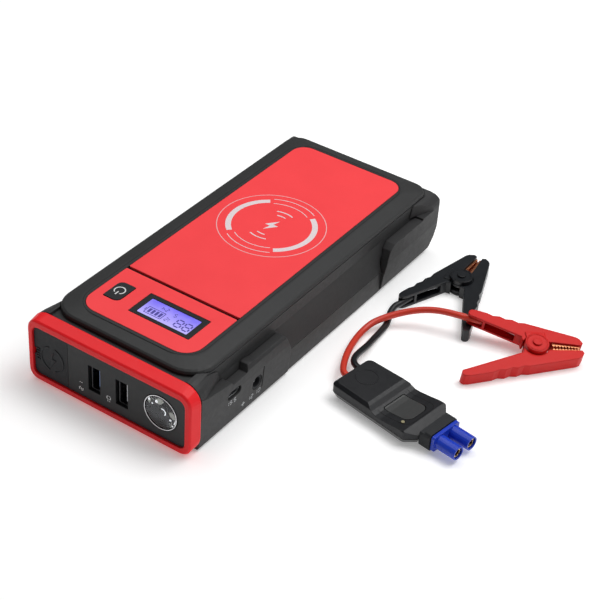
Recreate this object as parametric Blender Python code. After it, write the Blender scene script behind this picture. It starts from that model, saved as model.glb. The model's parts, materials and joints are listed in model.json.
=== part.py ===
"""Jump starter pack with its clamp lead, as separate named sub-parts.

Frame: origin at the centre of the pack's flat base, +Z up, the port end faces -Y and the
charging ports are on the +X side. Lengths below are in millimetres; MM turns them into metres.
"""
import math

import bmesh
import bpy
from mathutils import Matrix, Vector
from mathutils.geometry import interpolate_bezier

MM = 0.001
GAP = 0.3                      # clearance between pieces that touch

# Pack casing
CASE_FRONT = -101.4            # front rim of both case halves
CASE_REAR = 104.5
CASE_WALL = 2.0
PARTING_Z = 13.0
DECK_TOP = 40.0
DECK_HALF_WIDTH = 43.6
DECK_FRONT = -98.5
DECK_UNDERSIDE = 36.4
NECK_TOP = 35.6
PANEL_HALF_WIDTH = 33.0
PANEL_FRONT = -89.7
PANEL_REAR = 95.1
PANEL_SEAM = (-53.7, -51.7)
PANEL_BOTTOM = 38.9
POCKET_SIDE = 44.6             # the case is narrowed to this behind the corner bumpers
POCKET_TOP = 21.6

# Corner bumpers
BUMPER_BOTTOM = 0.8
BUMPER_SIDE = 49.0
FRONT_BUMPER = (-101.4, -30.0)
REAR_BUMPER = (55.0, 108.4)
SHOULDER_TOP = 37.2            # where the corner bumpers meet the deck
WING_INNER = 40.0              # inner end of the shoulder beside the bezel
WING_FLOOR = 28.6

# Port end
BEZEL_FRONT = -108.5
BEZEL_BACK = -101.7
PLATE_FRONT = -107.6
PLATE_BACK = -101.7
COVER_FLOOR = -104.9           # plate face behind the rubber cover
COVER_HINGE = (-24.2, -107.5)
OPENING_SIDE = 45.0            # half width of the bezel's opening
OPENING_Z = (4.2, 32.4)
USB_CENTRES = {"1": 8.1, "2": -8.2}
USB_MID_Z = 17.6
USB_WELL = (7.2, 14.5)
USB_SHELL = (5.6, 12.9)
USB_SHELL_SHIFT = 0.5          # the shell sits to the right in its well
LAMP = (30.6, 18.6)
LAMP_RADIUS = 9.5
SOCKET = (-34.0, 17.0)
SOCKET_SIZE = (18.8, 10.2)
CONTACT_PITCH = 9.8            # between the two high-current contacts

# Side ports on the right, as (y, z)
CHARGE_PORT = (-76.0, 18.8)
DC_PORT = (-57.5, 13.0)
SLIT_Y = -52.8

# Top controls, as (x0, x1, y0, y1)
BUTTON_HOLE = (-28.2, -18.8, -77.7, -63.5)
DISPLAY_HOLE = (-11.3, 24.4, -79.6, -62.2)
DISPLAY_WINDOW = (-8.2, 21.3, -77.3, -64.7)

# Inside the pack
BOARD_TOP = 31.0
BOARD_MOUNTS = [(-33.0, -84.0), (33.0, -84.0), (-33.0, -58.0), (33.0, -58.0)]
SCREWS = [(-37.0, -49.5), (37.0, -49.5), (-37.0, 98.4), (37.0, 98.4)]
COIL_CENTRE = (0.0, 20.5)

# Clamp lead
CABLE_DIAMETER = 3.4
RELAY_PLACE = (77.3, -18.7)    # middle of the relay's cable end
RELAY_TURN = -9.0              # degrees about +Z
RELAY_HEIGHT = 10.4
RELAY_SPLIT = 4.6
CLAMP_THICKNESS = 7.0
CLAMP_WEB = 1.2
CLAMP_WALL = 1.35
CLAMP_HALF_WIDTH = 12.7        # pivot to the straight outer edge
CLAMP_SLOPE = 15.6             # degrees, how far each outer edge splays
CLAMP_EAR = 6.0
CLAMP_ARCH = 6.6
JAW_EDGE = ((7.4, 2.6), (23.0, 1.6))
HANDLE_LENGTH = {1: 33.0, -1: 40.0}      # fixed and moving half
CRIMP_RIB = (23.6, 25.0)       # stops the lead inside the fixed handle
RED_PIVOT = (136.2, 56.8)
RED_TURN = 36.2
RED_TILT = 11.2                # the red clamp leans on the black one's handle
BLACK_PIVOT = (78.7, 83.7)
BLACK_TURN = 94.2

COLOURS = {
    "charcoal": ((0.035, 0.035, 0.037), 0.55, 0.0),
    "red": ((0.80, 0.06, 0.07), 0.42, 0.0),
    "rubber": ((0.022, 0.024, 0.026), 0.75, 0.0),
    "steel": ((0.55, 0.56, 0.58), 0.28, 1.0),
    "copper": ((0.62, 0.27, 0.14), 0.35, 1.0),
    "gold": ((0.80, 0.58, 0.25), 0.3, 1.0),
    "blue": ((0.02, 0.05, 0.42), 0.4, 0.0),
    "white": ((0.8, 0.8, 0.8), 0.4, 0.0),
    "glass": ((0.75, 0.78, 0.80), 0.08, 0.0),
    "display": ((0.25, 0.22, 0.80), 0.3, 0.0),
    "board": ((0.02, 0.16, 0.06), 0.5, 0.0),
    "cell": ((0.10, 0.22, 0.45), 0.4, 0.0),
}


def clear_scene():
    for thing in list(bpy.data.objects):
        bpy.data.objects.remove(thing, do_unlink=True)


def material(name):
    found = bpy.data.materials.get(name)
    if found:
        return found
    colour, roughness, metallic = COLOURS[name]
    made = bpy.data.materials.new(name)
    made.use_nodes = True
    shader = made.node_tree.nodes["Principled BSDF"]
    shader.inputs["Base Color"].default_value = (*colour, 1.0)
    shader.inputs["Roughness"].default_value = roughness
    shader.inputs["Metallic"].default_value = metallic
    return made


# ---------------------------------------------------------------- outlines

def mirrored(side):
    """Close a right-hand profile, bottom to top, with its mirror image."""
    return side + [(-x, z) for x, z in reversed(side)]


def arc(centre, radius, start, end, steps):
    """Points on an arc; angles in degrees."""
    turn = (end - start) / steps
    angles = [math.radians(start + turn * i) for i in range(steps + 1)]
    return [(centre[0] + radius * math.cos(a), centre[1] + radius * math.sin(a)) for a in angles]


def rounded(corners, steps=5):
    """Outline through (x, y, radius) corners, each radius rolled in as an arc."""
    outline = []
    count = len(corners)
    for i, (x, y, radius) in enumerate(corners):
        here = Vector((x, y))
        if radius <= 0:
            outline.append((x, y))
            continue
        before = (Vector(corners[i - 1][:2]) - here).normalized()
        after = (Vector(corners[(i + 1) % count][:2]) - here).normalized()
        half = before.angle(after) / 2
        reach = radius / math.tan(half)
        start = here + before * reach
        end = here + after * reach
        centre = here + (before + after).normalized() * (radius / math.sin(half))
        sweep = (start - centre).angle_signed(end - centre)
        for k in range(steps + 1):
            spoke = (start - centre).copy()
            spoke.rotate(Matrix.Rotation(-sweep * k / steps, 2))
            outline.append(tuple(centre + spoke))
    return outline


def rounded_box(x0, x1, y0, y1, front, rear, steps=5):
    """Rectangle with one radius on its two front (low y) corners and one on the rear pair."""
    return rounded([(x0, y0, front), (x1, y0, front), (x1, y1, rear), (x0, y1, rear)], steps)


def stadium(cx, cy, length, height, steps=6):
    """Slot shape lying along its first axis."""
    radius = height / 2
    run = length / 2 - radius
    return arc((cx + run, cy), radius, -90, 90, steps) + arc((cx - run, cy), radius, 90, 270, steps)


def circle(cx, cy, radius, steps=24):
    return arc((cx, cy), radius, 0, 360 - 360 / steps, steps - 1)


def inset_box(box, by):
    x0, x1, y0, y1 = box
    return x0 + by, x1 - by, y0 + by, y1 - by


# ---------------------------------------------------------------- solids

PLANES = {
    "X": lambda u, v, h: (h, u, v),
    "Y": lambda u, v, h: (u, h, v),
    "Z": lambda u, v, h: (u, v, h),
}


def loft(name, rings, axis, look="charcoal"):
    """Closed solid through rings of (outline, height), all with the same number of points."""
    mesh = bmesh.new()
    place = PLANES[axis]
    loops = []
    for outline, height in rings:
        points = [Vector(place(u, v, height)) * MM for u, v in outline]
        loops.append([mesh.verts.new(p) for p in points])
    count = len(loops[0])
    for lower, upper in zip(loops, loops[1:]):
        for i in range(count):
            j = (i + 1) % count
            mesh.faces.new((lower[i], lower[j], upper[j], upper[i]))
    mesh.faces.new(loops[0])
    mesh.faces.new(loops[-1])
    bmesh.ops.recalc_face_normals(mesh, faces=mesh.faces)
    data = bpy.data.meshes.new(name)
    mesh.to_mesh(data)
    mesh.free()
    made = bpy.data.objects.new(name, data)
    bpy.context.scene.collection.objects.link(made)
    data.materials.append(material(look))
    return made


def prism(name, outline, low, high, axis="Z", look="charcoal"):
    return loft(name, [(outline, low), (outline, high)], axis, look)


def box(name, x, y, z, look="charcoal"):
    outline = [(x[0], y[0]), (x[1], y[0]), (x[1], y[1]), (x[0], y[1])]
    return prism(name, outline, z[0], z[1], "Z", look)


def boolean(target, tool, operation):
    """Apply one exact boolean and drop the tool."""
    modifier = target.modifiers.new(operation.lower(), "BOOLEAN")
    modifier.operation = operation
    modifier.solver = "EXACT"
    modifier.object = tool
    bpy.context.view_layer.update()
    graph = bpy.context.evaluated_depsgraph_get()
    result = bpy.data.meshes.new_from_object(target.evaluated_get(graph))
    target.modifiers.clear()
    old = target.data
    result.name = target.name
    target.data = result
    bpy.data.meshes.remove(old)
    bpy.data.objects.remove(tool, do_unlink=True)


def cut(target, *tools):
    for tool in tools:
        boolean(target, tool, "DIFFERENCE")
    return target


def join(target, *tools):
    for tool in tools:
        boolean(target, tool, "UNION")
    return target


def keep(target, *tools):
    for tool in tools:
        boolean(target, tool, "INTERSECT")
    return target


def shade(thing, degrees=35):
    thing.data.shade_smooth()
    thing.data.set_sharp_from_angle(angle=math.radians(degrees))


def hang_on_empty(thing, place, label):
    """Give a moving piece a parent empty on its joint's axis."""
    pivot = bpy.data.objects.new(label, None)
    pivot.location = Vector(place) * MM
    bpy.context.scene.collection.objects.link(pivot)
    bpy.context.view_layer.update()
    thing.parent = pivot
    thing.matrix_parent_inverse = pivot.matrix_world.inverted()


# ---------------------------------------------------------------- casing

def core_profile():
    """Cross-section of the case body below the deck."""
    return mirrored([(45.6, 0.0), (46.8, 1.2), (46.6, PARTING_Z), (43.0, 28.5), (43.5, NECK_TOP)])


def cavity_profile():
    return mirrored([(42.6, 2.2), (42.6, 13.0), (41.0, 28.5), (41.0, DECK_UNDERSIDE)])


def case_plan(grow, corner):
    """Seen from above: straight sides, rounded at the two rear corners."""
    half = POCKET_SIDE + grow
    side = [(60.0, -130.0, 0), (60.0, 70.0, 0), (half, 70.0, 0), (half, CASE_REAR + grow, corner)]
    outline = rounded(side + [(-x, y, r) for x, y, r in reversed(side)], 6)
    return prism("plan", outline, -10.0, 60.0)


def case_cavity():
    """Battery and board space, lower behind the port plate than under the deck."""
    hollow = prism("cavity", cavity_profile(), CASE_FRONT - 5, CASE_REAR - CASE_WALL, "Y")
    keep(hollow, case_plan(-CASE_WALL, 7.0))
    cut(hollow, box("neck", (-60, 60), (-130, -88.0), (33.8, 60.0)))
    x0 = SOCKET[0] - SOCKET_SIZE[0] / 2 - GAP
    relief = box("relief", (x0, x0 + 10.0), (CASE_FRONT - 5, -85.6), (SOCKET[1] - 5.5, SOCKET[1] + 5.5))
    return join(hollow, relief)


def corner_pockets():
    """Blocks that narrow the case where the four bumpers sit."""
    blocks = []
    for side in (-1, 1):
        for low, high in ((CASE_FRONT - 1, FRONT_BUMPER[1] + GAP), (REAR_BUMPER[0] - GAP, CASE_REAR + 1)):
            x = sorted((side * POCKET_SIDE, side * 60.0))
            blocks.append(box("pocket", x, (low, high), (-1.0, POCKET_TOP)))
    return blocks


def side_port_tools():
    """Tunnels for the charging slot and the barrel jack through the right wall."""
    slot = prism("slot", stadium(*CHARGE_PORT, 10.4, 4.8), 40.7, 60.0, "X")
    jack = prism("jack", circle(*DC_PORT, 4.0), 40.7, 60.0, "X")
    return slot, jack


def deck(grow=0.0):
    """Raised top with its rounded shoulder and corners."""
    rings = []
    for z, inset, front, rear in ((35.3 - grow, 0.6, 13.4, 7.6), (36.8, 0.0, 14.0, 8.0),
                                  (38.0, 0.4, 13.8, 7.9), (38.7, 1.3, 13.4, 7.6),
                                  (DECK_TOP + grow, 7.7, 10.5, 9.0)):
        side = DECK_HALF_WIDTH - inset + grow
        outline = rounded_box(-side, side, DECK_FRONT + inset - grow, CASE_REAR - inset + grow,
                              front + grow, rear + grow, 7)
        rings.append((outline, z))
    return loft("deck", rings, "Z")


def boss(x, y, low, high, radius=3.3):
    return prism("boss", circle(x, y, radius, 16), low, high)


def make_upper_case():
    case = prism("upper_case", core_profile(), CASE_FRONT, CASE_REAR, "Y")
    keep(case, case_plan(0.0, 9.0))
    join(case, deck())
    cut(case, box("below", (-70, 70), (-130, 130), (-10, PARTING_Z + GAP / 2)))
    cut(case, case_cavity())
    cut(case, *corner_pockets())
    recess = rounded_box(-PANEL_HALF_WIDTH - GAP, PANEL_HALF_WIDTH + GAP,
                         PANEL_FRONT - GAP, PANEL_REAR + GAP, 9.8, 8.3, 7)
    cut(case, prism("recess", recess, PANEL_BOTTOM - GAP, 45.0))
    cut(case, prism("button_well", rounded_box(*BUTTON_HOLE, 0.6, 0.6, 2), 30.0, 45.0))
    x0, x1, y0, y1 = inset_box(DISPLAY_HOLE, 1.4)
    cut(case, box("display_well", (x0, x1), (y0, y1), (30.0, 45.0)))
    for x, y in SCREWS:
        join(case, boss(x, y, PARTING_Z + GAP / 2, DECK_UNDERSIDE + 0.5))
        cut(case, boss(x, y, 5.0, 22.0, 1.6))
    for x, y in BOARD_MOUNTS:
        join(case, boss(x, y, BOARD_TOP + GAP, DECK_UNDERSIDE + 0.5, 2.0))
    cut(case, *side_port_tools())
    shade(case)


def make_lower_case():
    case = prism("lower_case", core_profile(), CASE_FRONT, CASE_REAR, "Y")
    keep(case, case_plan(0.0, 9.0))
    cut(case, box("above", (-70, 70), (-130, 130), (PARTING_Z - GAP / 2, 60.0)))
    cut(case, case_cavity())
    cut(case, *corner_pockets())
    for x, y in SCREWS:
        join(case, boss(x, y, 1.0, PARTING_Z - GAP / 2))
        cut(case, boss(x, y, -1.0, 1.8, 3.1), boss(x, y, -1.0, 20.0, 1.7))
    for y in (-77.5, 77.5):
        cut(case, prism("pad_recess", pad_outline(y, GAP), -1.0, 0.9))
    cut(case, *side_port_tools())
    shade(case)


def pad_outline(y, grow=0.0):
    return rounded_box(-28 - grow, 28 + grow, y - 7.5 - grow, y + 7.5 + grow, 3, 3, 4)


def make_grip_pads():
    for label, y in (("front", -77.5), ("rear", 77.5)):
        prism("grip_pad_" + label, pad_outline(y), 0.0, 0.6, "Z", "rubber")


def make_case_screws():
    for i, (x, y) in enumerate(SCREWS):
        screw = prism("case_screw_%d" % (i + 1), circle(x, y, 2.7, 16), 0.3, 1.5, "Z", "steel")
        join(screw, boss(x, y, 1.0, 18.0, 1.25))
        cut(screw, prism("drive", circle(x, y, 1.3, 6), 0.0, 0.9))
        shade(screw)


# ---------------------------------------------------------------- bumpers

def bumper_clearance():
    """Everything that belongs to the case, grown by the gap, for the bumpers to fit round."""
    inner = mirrored([(POCKET_SIDE + GAP, -5.0), (POCKET_SIDE + GAP, POCKET_TOP + 0.1),
                      (43.3, 28.7), (43.8, NECK_TOP + GAP)])
    body = keep(prism("clearance", inner, CASE_FRONT - 20, CASE_REAR + GAP, "Y"),
                case_plan(GAP, 9.0 + GAP))
    return join(body, deck(GAP))


def side_block(side, section, low, high):
    return prism("block", [(side * x, z) for x, z in section], low, high, "Y")


def quarter(inner, reach, floor, top, steps=6):
    """Quarter of an ellipse from the outer side up to the top, as (x, z)."""
    return [(inner + (reach - inner) * c, floor + (top - floor) * s)
            for c, s in arc((0.0, 0.0), 1.0, 0, 90, steps)]


def front_wing(side):
    """Shoulder from the deck's corner out to the bezel, drawn in towards its rear end."""
    rings = []
    for y, reach, top in ((FRONT_BUMPER[0], BUMPER_SIDE, 37.4), (-98.0, 48.7, 37.4),
                          (-88.0, 45.9, 37.3), (-84.4, 44.8, SHOULDER_TOP), (-82.6, 44.3, 36.4)):
        ring = [(WING_INNER, 26.4), (44.2, 26.4)] + quarter(WING_INNER, reach, WING_FLOOR, top)
        rings.append(([(side * x, z) for x, z in ring], y))
    return loft("wing", rings, "Y")


def make_front_bumper(label, side):
    """Port block under the case's waist, with the shoulder that carries on from the bezel."""
    low, high = FRONT_BUMPER
    section = [(40.0, BUMPER_BOTTOM), (46.9, BUMPER_BOTTOM), (47.6, 1.6), (48.9, 20.0),
               (BUMPER_SIDE, 31.6), (40.0, 31.6)]
    bumper = side_block(side, section, low, high)
    bumper.name = "front_bumper_" + label
    x = sorted((side * 30.0, side * 60.0))
    over = [(low - 1, 31.4), (-97.0, 29.4), (-83.5, 27.2), (-79.0, 26.7), (-77.4, 24.7),
            (-66.8, 24.7), (-65.0, 28.0), (-62.5, 28.2), (-58.5, 27.4), (-36.0, 27.2),
            (-33.2, 22.8), (-30.2, 16.8), (high + 1, 16.0), (high + 1, 45.0), (low - 1, 45.0)]
    cut(bumper, prism("over", over, x[0], x[1], "X"))
    edge = [(49.6, 24.6), (47.9, 27.6), (47.9, 30.0), (52.0, 30.0), (52.0, 24.6)]
    cut(bumper, side_block(side, edge, -66.2, high + 1))
    join(bumper, front_wing(side))
    cut(bumper, bumper_clearance())
    if side > 0:
        cut(bumper, *side_port_tools())
        cut(bumper, box("slit", (47.4, 60.0), (SLIT_Y - 0.4, SLIT_Y + 0.4), (7.0, 20.0)))
    shade(bumper)


def make_rear_bumper(label, side):
    """Corner block that wraps the rear end and rises to meet the deck."""
    low, high = REAR_BUMPER
    plan = rounded([(side * 38.0, low, 0), (side * 49.4, low, 1.5), (side * 49.4, high, 2.6),
                    (side * 22.0, high, 3.0), (side * 24.0, 100.0, 0), (side * 38.0, 100.0, 0)], 6)
    bumper = prism("rear_bumper_" + label, plan, BUMPER_BOTTOM, SHOULDER_TOP)
    section = [(0.0, 0.0), (46.4, 0.8), (47.4, 2.6), (49.1, 18.0)]
    section += quarter(38.0, 49.2, 28.4, SHOULDER_TOP, 8) + [(0.0, SHOULDER_TOP)]
    keep(bumper, side_block(side, section, 0.0, 130.0))
    x = sorted((side * 10.0, side * 60.0))
    tail = [(40.0, 0.0), (97.0, 0.0), (103.5, 3.0), (106.6, 8.5), (108.2, 18.0), (high, 26.0),
            (108.0, 31.4), (106.9, 34.4), (105.4, 36.0), (103.6, SHOULDER_TOP), (85.0, SHOULDER_TOP),
            (85.0, 27.4), (62.0, 27.4), (58.4, 25.0), (56.6, 20.0), (55.4, 12.0), (40.0, 12.0)]
    keep(bumper, prism("tail", tail, x[0], x[1], "X"))
    flare = [(side * 43.2, 85.0), (side * 49.4, 101.6), (side * 60.0, 101.6), (side * 60.0, 80.0),
             (side * 43.2, 80.0)]
    cut(bumper, prism("flare", flare, 28.4, 60.0), box("ledge", x, (80.0, 90.2), (27.4, 28.6)))
    cut(bumper, bumper_clearance())
    shade(bumper)


# ---------------------------------------------------------------- port end

def opening_outline(inset):
    """Inside edge of the red bezel, as (x, z)."""
    side = OPENING_SIDE - inset
    return rounded_box(-side, side, OPENING_Z[0] + inset, OPENING_Z[1] - inset,
                       3.5 - inset, 4.0 - inset)


def make_front_bezel():
    rings = []
    for y, side, bottom, top, low_corner, high_corner in (
            (BEZEL_BACK, 48.9, 0.9, 37.2, 8.7, 8.7),
            (BEZEL_BACK - 0.6, 49.2, 0.6, 37.5, 9.0, 9.0),
            (BEZEL_FRONT + 0.8, 48.1, 0.8, 36.1, 5.9, 6.8),
            (BEZEL_FRONT, 47.2, 1.5, 35.3, 5.0, 6.0)):
        rings.append((rounded_box(-side, side, bottom, top, low_corner, high_corner, 7), y))
    bezel = loft("front_bezel", rings, "Y", "red")
    cut(bezel, prism("opening", opening_outline(0.0), BEZEL_FRONT - 2, BEZEL_BACK + 2, "Y"))
    shade(bezel, 28)


def make_port_plate():
    plate = prism("port_plate", opening_outline(GAP), PLATE_FRONT, PLATE_BACK, "Y")
    hinge_x = COVER_HINGE[0]
    cut(plate, box("cover_bay", (-60.0, hinge_x + GAP), (-120.0, COVER_FLOOR), (-5, 50)))
    across, tall = USB_WELL[0] / 2, USB_WELL[1] / 2
    for x in USB_CENTRES.values():
        cut(plate, box("usb_well", (x - across, x + across), (-120, -90),
                       (USB_MID_Z - tall, USB_MID_Z + tall)))
    width, height = SOCKET_SIZE
    well = rounded_box(SOCKET[0] - width / 2 - GAP, SOCKET[0] + width / 2 + GAP,
                       SOCKET[1] - height / 2 - GAP, SOCKET[1] + height / 2 + GAP, 1.5, 1.5, 3)
    cut(plate, prism("socket_well", well, -120, -90, "Y"))
    cut(plate, prism("lamp_well", circle(*LAMP, LAMP_RADIUS + GAP, 32), -120, -90, "Y"))
    shade(plate)


def make_socket_cover():
    """Rubber flap over the high-current socket; its hinge is the vertical edge beside the ports."""
    hinge_x, front = COVER_HINGE
    flap = prism("socket_cover", opening_outline(0.35), front, COVER_FLOOR - GAP, "Y", "rubber")
    cut(flap, box("beyond", (hinge_x, 60), (-120, -90), (-5, 50)))
    cut(flap, prism("nail_notch", circle(-45.6, 17.5, 2.4, 16), -120, -106.3, "Y"))
    x, z = SOCKET
    collar = prism("collar", rounded_box(x - 8.2, x + 8.2, z - 4.3, z + 4.3, 2, 2, 3), -105.5, -103.9, "Y")
    hollow = prism("hollow", rounded_box(x - 7.0, x + 7.0, z - 3.1, z + 3.1, 1.2, 1.2, 3), -105.1, -103, "Y")
    join(flap, collar)
    cut(flap, hollow)
    shade(flap)
    hang_on_empty(flap, (hinge_x, front, SOCKET[1]), "socket_cover_hinge")


def make_jump_socket():
    width, height = SOCKET_SIZE
    x, z = SOCKET
    outline = rounded_box(x - width / 2, x + width / 2, z - height / 2, z + height / 2, 1.2, 1.2, 3)
    socket = prism("jump_socket", outline, -103.3, -86.0, "Y", "blue")
    for side in (-1, 1):
        hole = circle(x + side * CONTACT_PITCH / 2, z, 4.2, 20)
        cut(socket, prism("bore", hole, -110.0, -92.0, "Y"))
    shade(socket)


def make_usb_ports():
    width, height = USB_SHELL
    for label, well in USB_CENTRES.items():
        x = well + USB_SHELL_SHIFT
        outline = rounded_box(x - width / 2, x + width / 2, USB_MID_Z - height / 2,
                              USB_MID_Z + height / 2, 0.6, 0.6, 2)
        shell = prism("usb_shell_" + label, outline, -106.4, -92.5, "Y", "steel")
        inside = rounded_box(x - width / 2 + 0.4, x + width / 2 - 0.4, USB_MID_Z - height / 2 + 0.4,
                             USB_MID_Z + height / 2 - 0.4, 0.4, 0.4, 2)
        cut(shell, prism("inside", inside, -110.0, -93.5, "Y"))
        shade(shell)
        tongue = box("usb_tongue_" + label, (x + 0.5, x + 2.0), (-105.0, -97.0),
                     (USB_MID_Z - 5.2, USB_MID_Z + 5.2), "blue" if label == "2" else "rubber")
        heel = box("heel", (x - 2.0, x + 2.0), (-97.2, -94.0), (USB_MID_Z - 5.5, USB_MID_Z + 5.5))
        join(tongue, heel)


def turned(name, profile, centre, look, steps=32):
    """Solid of revolution about a line along Y; profile is (radius, y) from front to back."""
    rings = [(circle(centre[0], centre[1], radius, steps), y) for radius, y in profile]
    return loft(name, rings, "Y", look)


def make_lamp():
    bowl = turned("lamp_reflector", [(LAMP_RADIUS, -107.8), (LAMP_RADIUS, -106.2), (8.4, -104.0),
                                     (6.0, -100.4), (3.4, -98.2)], LAMP, "steel")
    cut(bowl, turned("inner", [(8.9, -109.0), (8.9, -106.0), (7.6, -104.0), (5.2, -100.8),
                               (2.2, -99.2), (2.2, -97.0)], LAMP, "steel"))
    shade(bowl)
    lens = turned("lamp_lens", [(3.0, -108.3), (6.6, -108.1), (8.6, -107.6), (8.6, -106.3)],
                  LAMP, "glass")
    shade(lens)
    turned("lamp_led", [(1.7, -100.6), (1.7, -97.4)], LAMP, "white", 12)


def make_side_ports():
    y, z = CHARGE_PORT
    shell = prism("charge_port_shell", stadium(y, z, 9.2, 3.6), 39.5, 47.6, "X", "steel")
    cut(shell, prism("inside", stadium(y, z, 8.4, 2.8), 40.5, 50.0, "X"))
    shade(shell)
    box("charge_port_tongue", (40.8, 46.4), (y - 3.2, y + 3.2), (z - 0.4, z + 0.4), "rubber")
    y, z = DC_PORT
    barrel = prism("dc_jack", circle(y, z, 3.7, 20), 39.0, 48.0, "X", "rubber")
    cut(barrel, prism("inside", circle(y, z, 2.8, 20), 40.5, 50.0, "X"))
    shade(barrel)
    pin = prism("dc_pin", circle(y, z, 0.9, 10), 40.8, 46.6, "X", "steel")
    shade(pin)


# ---------------------------------------------------------------- top panels

def make_control_panel():
    outline = rounded_box(-PANEL_HALF_WIDTH, PANEL_HALF_WIDTH, PANEL_FRONT, PANEL_SEAM[0], 9.5, 0.6, 7)
    panel = prism("control_panel", outline, PANEL_BOTTOM, DECK_TOP, "Z", "red")
    cut(panel, prism("button_hole", button_outline(0.0), 30.0, 50.0))
    cut(panel, prism("display_hole", rounded_box(*DISPLAY_HOLE, 0.5, 0.5, 2), 30.0, 50.0))
    shade(panel)


def make_charging_pad():
    outline = rounded_box(-PANEL_HALF_WIDTH, PANEL_HALF_WIDTH, PANEL_SEAM[1], PANEL_REAR, 0.6, 8.0, 7)
    shade(prism("charging_pad", outline, PANEL_BOTTOM, DECK_TOP, "Z", "red"))


def button_outline(inset):
    """Key shape: two opposite corners large, two small."""
    x0, x1, y0, y1 = inset_box(BUTTON_HOLE, inset)
    return rounded([(x0, y0, 0.8), (x1, y0, 3.2 - inset), (x1, y1, 0.8), (x0, y1, 3.2 - inset)], 4)


def make_power_button():
    key = prism("power_button", button_outline(GAP), 35.4, DECK_TOP + 0.3, "Z", "rubber")
    x0, x1, y0, y1 = inset_box(BUTTON_HOLE, -0.8)
    join(key, box("flange", (x0, x1), (y0, y1), (34.7, DECK_UNDERSIDE - GAP)))
    shade(key)
    middle = ((x0 + x1) / 2, (y0 + y1) / 2)
    hang_on_empty(key, (*middle, DECK_TOP), "power_button_axis")
    box("button_switch", (middle[0] - 3, middle[0] + 3), (middle[1] - 3, middle[1] + 3),
        (31.4, 33.6), "white")


def make_display():
    frame = prism("display_frame", rounded_box(*inset_box(DISPLAY_HOLE, GAP), 0.5, 0.5, 2),
                  PANEL_BOTTOM, DECK_TOP, "Z", "rubber")
    cut(frame, prism("window", rounded_box(*DISPLAY_WINDOW, 0.5, 0.5, 2), 30.0, 50.0))
    glass = prism("display_glass", rounded_box(*inset_box(DISPLAY_WINDOW, GAP), 0.4, 0.4, 2),
                  PANEL_BOTTOM + 0.1, DECK_TOP - 0.2, "Z", "display")
    shade(frame)
    shade(glass)
    x0, x1, y0, y1 = inset_box(DISPLAY_HOLE, 2.0)
    box("display_module", (x0, x1), (y0, y1), (32.5, PANEL_BOTTOM - GAP), "white")


# ---------------------------------------------------------------- inside

def make_insides():
    box("main_board", (-38, 38), (-97.0, -54.5), (BOARD_TOP - 1.6, BOARD_TOP), "board")
    for label, x in (("left", (-40.2, -0.4)), ("right", (0.4, 40.2))):
        outline = rounded_box(x[0], x[1], 2.5, 28.0, 3.0, 3.0, 3)
        shade(prism("battery_cell_" + label, outline, -45.0, 94.0, "Y", "cell"))
    top = DECK_UNDERSIDE - GAP
    coil = prism("wireless_coil", circle(*COIL_CENTRE, 22.0, 32), top - 1.6, top, "Z", "copper")
    cut(coil, prism("eye", circle(*COIL_CENTRE, 10.0, 24), 30.0, 40.0))
    shade(coil)


# ---------------------------------------------------------------- relay and plug

def relay_matrix():
    place = Matrix.Translation(Vector((*RELAY_PLACE, 0.0)) * MM)
    return place @ Matrix.Rotation(math.radians(RELAY_TURN), 4, "Z")


def relay_plan(inset=0.0):
    """Case outline: rounded cable end, slightly flared sides and a tapered nose."""
    side = [(49.8 - inset, -10.2 + inset, 0), (45.2 - inset, -15.2 + inset, 2.2),
            (-1.6 + inset, -13.6 + inset, 2.6)]
    lower = [(x, y, r) for x, y, r in reversed(side)]
    return rounded(lower + [(x, -y, r) for x, y, r in side], 4)


BOOST_BUTTON = (26.0, 41.6, 7.6)       # x range and half width of the push pad
SADDLE = [(44.4, 9.1), (37.0, 7.9), (30.0, 7.0), (27.0, 7.1), (24.6, 8.0), (22.4, 9.6)]
ABOVE_RELAY = [(60, 20), (60, 6.4), (50.4, 6.6), *SADDLE, (20.6, RELAY_HEIGHT + 0.1), (20.6, 20)]
STATUS_LED = (39.6, -9.4)


def boost_outline(inset):
    x0, x1, half = BOOST_BUTTON
    return rounded([(x0 + inset, -half + inset, 0.8), (x1 - inset, -half + inset, 4.0),
                    (x1 - inset, half - inset, 4.0), (x0 + inset, half - inset, 0.8)], 4)


def cable_bores():
    """Holes in the cable end for the two leads, as (y, z)."""
    return {"red": (-1.3, 6.0), "black": (7.2, 6.0)}


def relay_hollow(low, high, rear=44.0):
    outline = rounded_box(2.6, rear, -11.6, 11.6, 1.0, 1.0, 2)
    return prism("hollow", outline, low, high)


def relay_shell():
    """Upper case: chamfered block whose top dips from the cap into a saddle for the thumb."""
    low = RELAY_SPLIT + GAP / 2
    rings = [(relay_plan(inset), z) for inset, z in
             ((0.0, low), (0.0, 8.6), (1.5, RELAY_HEIGHT))]
    top = loft("relay_top", rings, "Z")
    cut(top, prism("profile", ABOVE_RELAY, -20, 20, "Y"))
    cut(top, relay_hollow(0.0, 5.2), relay_hollow(5.0, 8.4, 18.6))
    return top


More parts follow.
